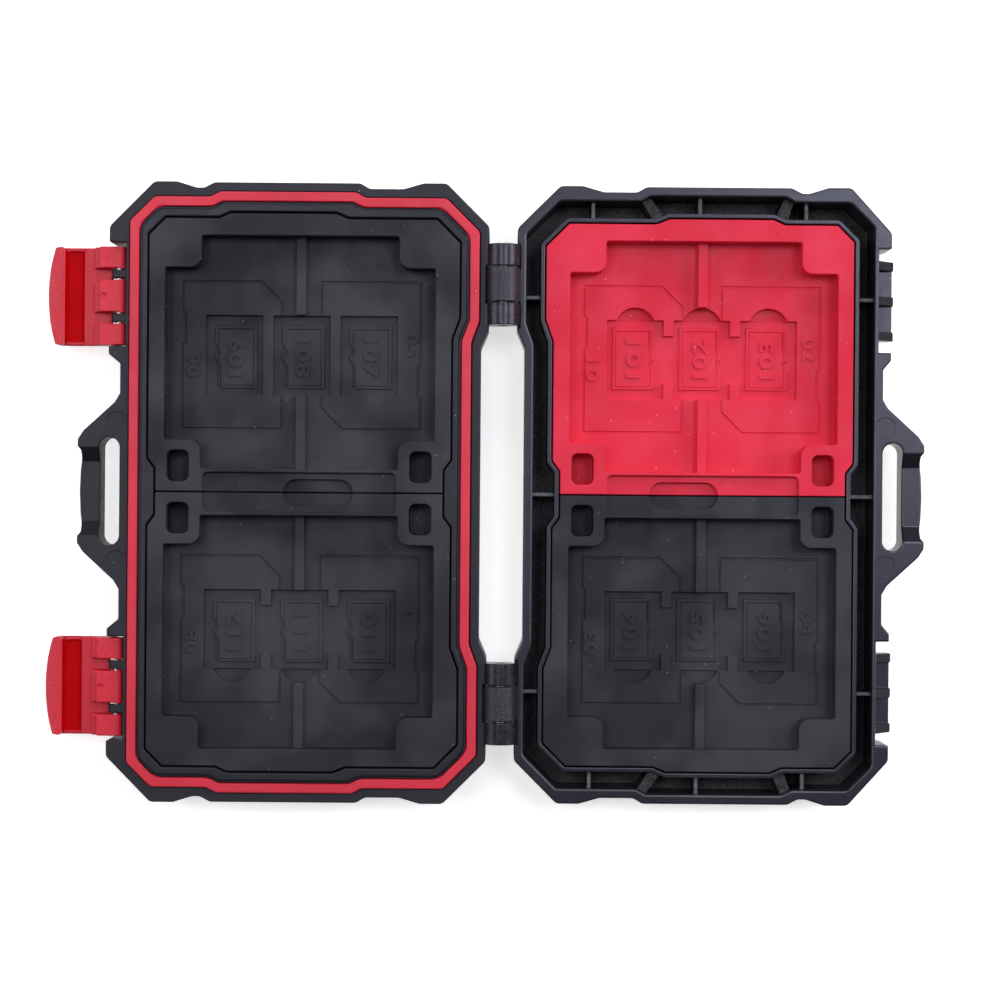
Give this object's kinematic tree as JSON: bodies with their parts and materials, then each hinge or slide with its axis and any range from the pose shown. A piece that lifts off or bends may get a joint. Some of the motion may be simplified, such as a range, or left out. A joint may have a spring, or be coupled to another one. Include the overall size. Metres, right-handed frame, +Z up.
{
  "type": "memory card case",
  "caption": "Hard memory card case lying open flat: hinged base and lid with a seal, removable rubber card inserts, front latches and a split carry handle.",
  "frame": {"origin": "middle of the base's flat underside, on the plane that the open case lies on", "axes": "+X from the hinge line towards the base's front edge, +Y along the hinge line, +Z up out of the open shells"},
  "size_m": [0.1684, 0.1186, 0.0162],
  "materials": {
    "shell_black": "fine moulded texture, satin on the tongue and the hinge barrels",
    "seal_red": "smooth silicone, matte",
    "insert_red": "soft rubber, matte, with pale dust",
    "insert_black": "soft rubber, matte, with pale dust",
    "latch_red": "satin moulded plastic",
    "pin_steel": "drawn steel"
  },
  "bodies": {
    "base": {"base_shell": "shell_black", "hinge_pin_upper": "pin_steel", "hinge_pin_lower": "pin_steel"},
    "lid": {"lid_shell": "shell_black", "gasket": "seal_red", "latch_pin_upper": "pin_steel", "latch_pin_lower": "pin_steel"},
    "latch_upper": {"latch_upper": "latch_red"},
    "latch_lower": {"latch_lower": "latch_red"},
    "insert_base_upper": {"insert_base_upper": "insert_red"},
    "insert_base_lower": {"insert_base_lower": "insert_black"},
    "insert_lid_upper": {"insert_lid_upper": "insert_black"},
    "insert_lid_lower": {"insert_lid_lower": "insert_black"}
  },
  "joints": [
    {"name": "lid_hinge", "type": "hinge", "parent": "base", "child": "lid", "pos_m": [-0.0386, 0, 0.01305], "axis": [0, 1, 0], "range_deg": [0, 180]},
    {"name": "latch_upper_pivot", "type": "hinge", "parent": "lid", "child": "latch_upper", "pos_m": [-0.1121, 0.0374, 0.0115], "axis": [0, 1, 0], "range_deg": [-25, 90]},
    {"name": "latch_lower_pivot", "type": "hinge", "parent": "lid", "child": "latch_lower", "pos_m": [-0.1121, -0.0374, 0.0115], "axis": [0, 1, 0], "range_deg": [-25, 90]},
    {"name": "insert_base_upper_lift", "type": "slide", "parent": "base", "child": "insert_base_upper", "axis": [0, 0, -1], "range_m": [-0.012, 0]},
    {"name": "insert_base_lower_lift", "type": "slide", "parent": "base", "child": "insert_base_lower", "axis": [0, 0, -1], "range_m": [-0.012, 0]},
    {"name": "insert_lid_upper_lift", "type": "slide", "parent": "lid", "child": "insert_lid_upper", "axis": [0, 0, -1], "range_m": [-0.012, 0]},
    {"name": "insert_lid_lower_lift", "type": "slide", "parent": "lid", "child": "insert_lid_lower", "axis": [0, 0, -1], "range_m": [-0.012, 0]}
  ]
}
